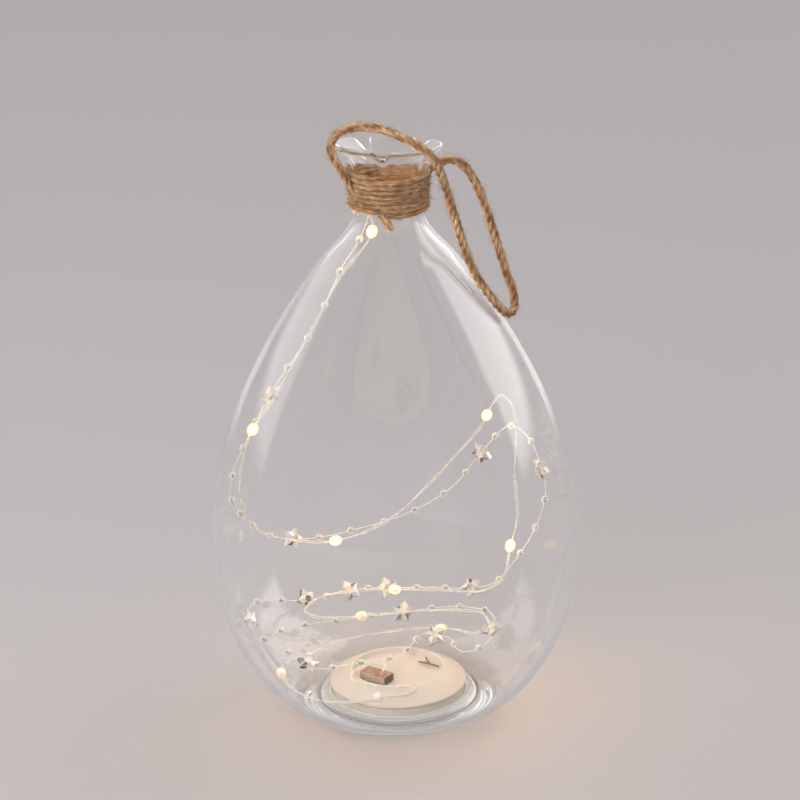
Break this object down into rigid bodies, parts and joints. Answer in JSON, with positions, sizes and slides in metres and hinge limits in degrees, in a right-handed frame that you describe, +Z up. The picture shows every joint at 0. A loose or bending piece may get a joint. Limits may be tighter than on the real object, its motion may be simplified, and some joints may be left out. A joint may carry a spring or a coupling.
{
  "type": "led jar light",
  "caption": "Clear glass drop-shaped jar light with a lobed mouth, jute neck and rope handle, a battery unit in its base, and a lit string, bead line and glass stars inside.",
  "frame": {"origin": "on the jar's axis, in the plane of the foot it stands on", "axes": "+Z up along the jar's axis, -Y towards the viewer of the picture, +X to the viewer's right, where the rope handle hangs"},
  "size_m": [0.16, 0.16, 0.2649],
  "materials": {
    "clear_glass": "clear, gloss",
    "jute": "twisted plant fibre, matt",
    "silicone": "translucent, satin",
    "white_plastic": "satin",
    "cell_jacket": "printed film, plain",
    "sprung_steel": "nickel plated",
    "board_green": "solder mask",
    "black_plastic": "satin",
    "brown_plastic": "matt",
    "red_plastic": "soft sleeve",
    "silver_wire": "lacquered copper, silver",
    "clear_bead": "clear, gloss",
    "crystal": "cut, iridescent coat",
    "lamp": "clear drop, lit warm white"
  },
  "bodies": {
    "jar": {"glass_jar": "clear_glass", "neck_twine": "jute", "rope_handle": "jute", "base_seal": "silicone", "battery_housing": "white_plastic", "bottom_ring": "white_plastic", "battery_1": "cell_jacket", "battery_2": "cell_jacket", "contact_spring_1": "sprung_steel", "contact_spring_2": "sprung_steel", "bridge_plate": "sprung_steel", "plate_negative": "sprung_steel", "plate_positive": "sprung_steel", "circuit_board": "board_green", "timer_chip": "black_plastic", "timer_crystal": "sprung_steel", "switch_body": "black_plastic", "wire_block": "brown_plastic", "lead_positive": "red_plastic", "lead_negative": "black_plastic", "wire_joint": "black_plastic", "light_wire": "silver_wire", "bead_line": "clear_bead", "light_01": "lamp", "light_02": "lamp", "light_03": "lamp", "light_04": "lamp", "light_05": "lamp", "light_06": "lamp", "light_07": "lamp", "light_08": "lamp", "light_09": "lamp", "light_10": "lamp", "star_01": "crystal", "star_02": "crystal", "star_03": "crystal", "star_04": "crystal", "star_05": "crystal", "star_06": "crystal", "star_07": "crystal", "star_08": "crystal", "star_09": "crystal", "star_10": "crystal", "star_11": "crystal", "star_12": "crystal", "star_13": "crystal"},
    "cover": {"battery_cover": "white_plastic"},
    "knob": {"switch_knob": "black_plastic"}
  },
  "joints": [
    {"name": "cover_turn", "type": "hinge", "parent": "jar", "child": "cover", "pos_m": [0, 0.001, 0], "axis": [0, 0, 1], "range_deg": [-20, 0]},
    {"name": "switch_slide", "type": "slide", "parent": "jar", "child": "knob", "axis": [1, 0, 0], "range_m": [0, 0.003]}
  ]
}
